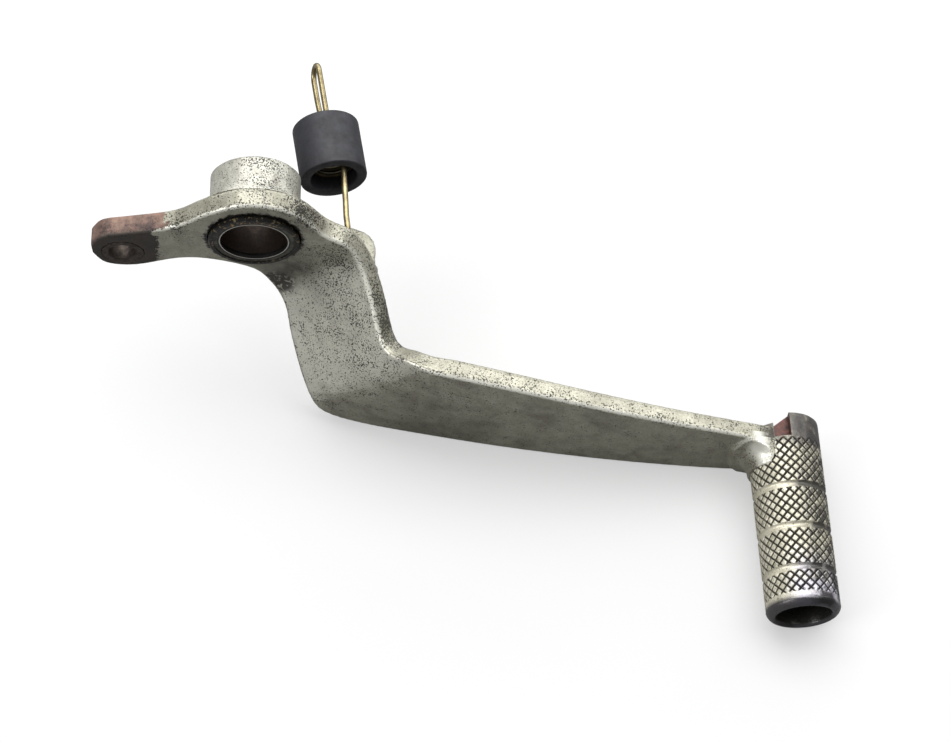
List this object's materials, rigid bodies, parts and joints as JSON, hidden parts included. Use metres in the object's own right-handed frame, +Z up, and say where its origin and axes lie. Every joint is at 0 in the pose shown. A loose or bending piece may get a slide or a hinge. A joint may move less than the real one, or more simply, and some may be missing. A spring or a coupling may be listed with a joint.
{
  "type": "motorbike rear brake pedal",
  "caption": "Cranked foot lever for a rear brake: pivot tube with bush and seals, lever eye for a clevis pin, knurled toe peg and hooked return spring in a rubber sleeve.",
  "frame": {"origin": "pivot axis, in the plane of the front face of the pivot eye", "axes": "+X towards the toe peg, +Z up, -Y outboard, the way the toe peg points; the pivot axis lies along Y"},
  "size_m": [0.2164, 0.1639, 0.0809],
  "materials": {
    "arm_paint": "silver paint, speckled, chipped and rusty at the lever end",
    "tube_paint": "silver paint with a ring of dark grease",
    "bush_steel": "bore brown with old grease",
    "seal_rubber": "matt black, greasy",
    "clevis_steel": "bare steel, brown with rust",
    "peg_paint": "silver paint, worn bright on the knurl at the nose",
    "spring_wire": "yellow zinc",
    "sleeve_rubber": "matt blue-black"
  },
  "bodies": {
    "pedal": {"pedal_arm": "arm_paint", "pivot_tube": "tube_paint", "hub_weld": "tube_paint", "pivot_bush": "bush_steel", "seal_front": "seal_rubber", "seal_back": "seal_rubber", "clevis_bush": "clevis_steel", "toe_peg": "peg_paint", "peg_weld": "peg_paint", "spring_tab": "arm_paint", "tab_weld": "arm_paint"},
    "spring": {"return_spring": "spring_wire", "spring_sleeve": "sleeve_rubber"}
  },
  "joints": [
    {"name": "spring_swing", "type": "hinge", "parent": "pedal", "child": "spring", "pos_m": [0.0255, 0.00461, -0.0085], "axis": [0.6081, 0.0963, 0.788], "range_deg": [-60, 8]}
  ]
}
